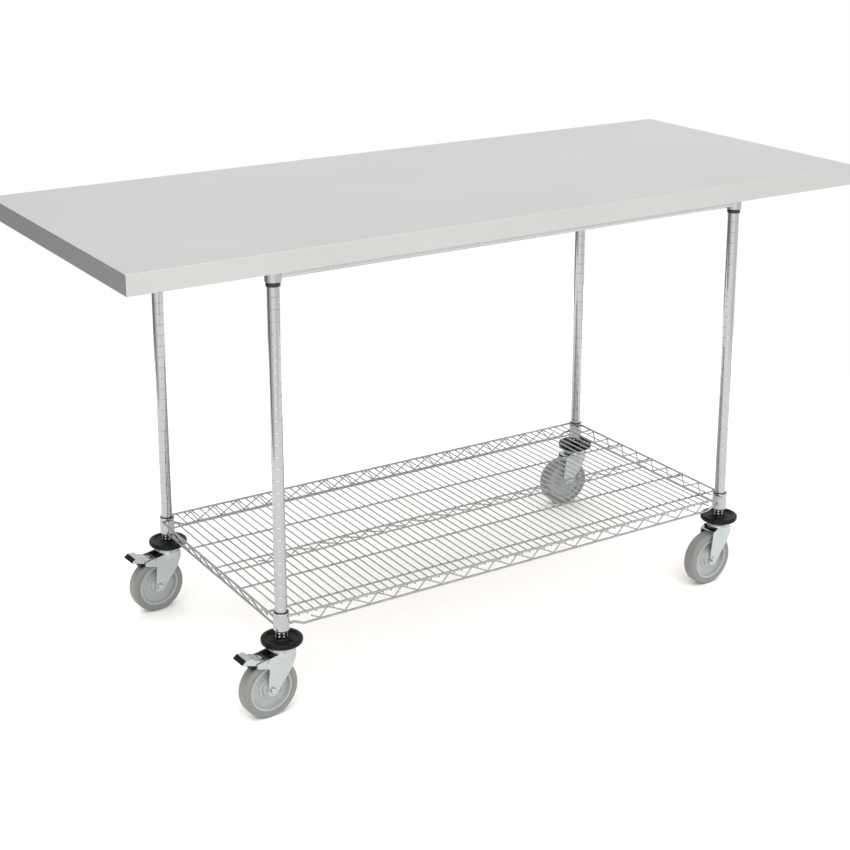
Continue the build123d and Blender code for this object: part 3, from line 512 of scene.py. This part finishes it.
class WORKTABLE_OT_set_stage(bpy.types.Operator):
    """Lays the pale floor, lights the studio and stands the camera in front of the table"""

    bl_idname = "worktable.set_stage"
    bl_label = "Set the stage"

    def execute(self, context):
        studio = context.scene.table_studio
        self.lay_floor(context, studio)
        self.light(context, studio)
        self.stand_camera(context, studio)
        context.scene.view_settings.view_transform = "Standard"
        return {"FINISHED"}

    def lay_floor(self, context, studio):
        mesh = bpy.data.meshes.new("studio_floor")
        corners = [(-1, -1), (1, -1), (1, 1), (-1, 1)]
        mesh.from_pydata(
            [(x * FLOOR_HALF, y * FLOOR_HALF, CAD_LOW.z) for x, y in corners],
            [],
            [(0, 1, 2, 3)],
        )
        floor = bpy.data.objects.new("studio_floor", mesh)
        context.scene.collection.objects.link(floor)
        # Matt paper floor: no gloss, with the faintest mottle.
        material, tree, shader, place = new_finish("matt_paper", studio.floor, 0.0, 0.9)
        mottle = add_node(
            tree,
            "ShaderNodeTexNoise",
            values={"Scale": per(300 * MM)},
            links={"Vector": place},
        ).outputs["Fac"]
        vary(tree, shader, mottle, studio.floor, 0.99, 1.0)
        mesh.materials.append(material)

    def light(self, context, studio):
        world = bpy.data.worlds.new("studio")
        world.use_nodes = True
        tree = world.node_tree
        tree.nodes.clear()
        toward = add_node(tree, "ShaderNodeTexCoord").outputs["Generated"]

        def glow(direction, start, end, strength):
            """A soft patch of light or shade in one direction of the studio."""
            cosine = add_node(
                tree,
                "ShaderNodeVectorMath",
                {"operation": "DOT_PRODUCT"},
                {1: Vector(direction).normalized()},
                {0: toward},
            ).outputs["Value"]
            return add_node(
                tree,
                "ShaderNodeMapRange",
                {"interpolation_type": "SMOOTHSTEP"},
                {"From Min": start, "From Max": end, "To Min": 0, "To Max": strength},
                {"Value": cosine},
            ).outputs["Result"]

        ceiling = glow(*CEILING)
        front_left = glow(*FRONT_LEFT)
        front_right = glow(*FRONT_RIGHT)
        # a darker wall behind on the left, which fades out upwards
        wall = glow(*DARK_WALL)
        low = glow(*WALL_FADE)
        wall = add_node(
            tree, "ShaderNodeMath", {"operation": "MULTIPLY"}, None, {0: wall, 1: low}
        ).outputs["Value"]
        room = add_node(tree, "ShaderNodeValue").outputs[0]
        room.default_value = ROOM_LEVEL
        total = room
        for patch in (ceiling, front_left, front_right, wall):
            total = add_node(
                tree, "ShaderNodeMath", {"operation": "ADD"}, None, {0: total, 1: patch}
            ).outputs["Value"]
        walls = add_node(
            tree, "ShaderNodeMath", {"operation": "MULTIPLY"}, {1: studio.sky_light}, {0: total}
        ).outputs["Value"]
        # the camera itself sees plain white all round
        seen = add_node(tree, "ShaderNodeLightPath").outputs["Is Camera Ray"]
        strength = add_node(
            tree, "ShaderNodeMix", {"data_type": "FLOAT"}, {NUMBER_B: 1.0}, {MIX_FACTOR: seen, NUMBER_A: walls}
        ).outputs[0]
        back = add_node(
            tree,
            "ShaderNodeBackground",
            values={"Color": (1, 1, 1, 1)},
            links={"Strength": strength},
        )
        add_node(
            tree, "ShaderNodeOutputWorld", links={"Surface": back.outputs["Background"]}
        )
        context.scene.world = world

        sun = bpy.data.lights.new("key_light", "SUN")
        sun.energy = studio.sun_light
        sun.angle = KEY_SPREAD
        lamp = bpy.data.objects.new("key_light", sun)
        lamp.rotation_euler = KEY_FROM.to_track_quat("Z", "Y").to_euler()
        context.scene.collection.objects.link(lamp)

    def stand_camera(self, context, studio):
        camera = bpy.data.cameras.new("camera")
        camera.lens = studio.lens
        camera.sensor_width = SENSOR_WIDTH
        camera.shift_y = studio.rise
        camera.clip_end = CAMERA_REACH
        stand = bpy.data.objects.new("camera", camera)
        ahead = Vector(
            (
                math.sin(CAMERA_TURN) * math.cos(CAMERA_DIP),
                math.cos(CAMERA_TURN) * math.cos(CAMERA_DIP),
                -math.sin(CAMERA_DIP),
            )
        )
        turned = ahead.to_track_quat("-Z", "Y").to_matrix().to_4x4()
        stand.matrix_world = Matrix.Translation(CAMERA_PLACE) @ turned
        context.scene.collection.objects.link(stand)
        context.scene.camera = stand


STEPS = (
    WORKTABLE_OT_clad_top,
    WORKTABLE_OT_coat_frame,
    WORKTABLE_OT_plate_posts,
    WORKTABLE_OT_plate_shelf,
    WORKTABLE_OT_finish_casters,
    WORKTABLE_OT_finish_wheels,
    WORKTABLE_OT_mould_guards,
    WORKTABLE_OT_set_stage,
)


class WORKTABLE_PT_sidebar(bpy.types.Panel):
    """Lists the table's colours and sizes and the steps that finish it"""

    bl_idname = "WORKTABLE_PT_sidebar"
    bl_label = "Work Table"
    bl_space_type = "VIEW_3D"
    bl_region_type = "UI"
    bl_category = "Work Table"

    def draw(self, context):
        for group in (context.scene.table_finish, context.scene.table_studio):
            box = self.layout.box()
            for name in group.__annotations__:
                box.prop(group, name)
        for step in STEPS:
            self.layout.operator(step.bl_idname)


CLASSES = (TableFinish, TableStudio, *STEPS, WORKTABLE_PT_sidebar)


def register():
    for kind in CLASSES:
        bpy.utils.register_class(kind)
    bpy.types.Scene.table_finish = bpy.props.PointerProperty(type=TableFinish)
    bpy.types.Scene.table_studio = bpy.props.PointerProperty(type=TableStudio)


def unregister():
    del bpy.types.Scene.table_studio
    del bpy.types.Scene.table_finish
    for kind in reversed(CLASSES):
        bpy.utils.unregister_class(kind)


def main():
    register()
    for step in STEPS:
        group, name = step.bl_idname.split(".")
        getattr(getattr(bpy.ops, group), name)()


if __name__ == "__main__":
    main()
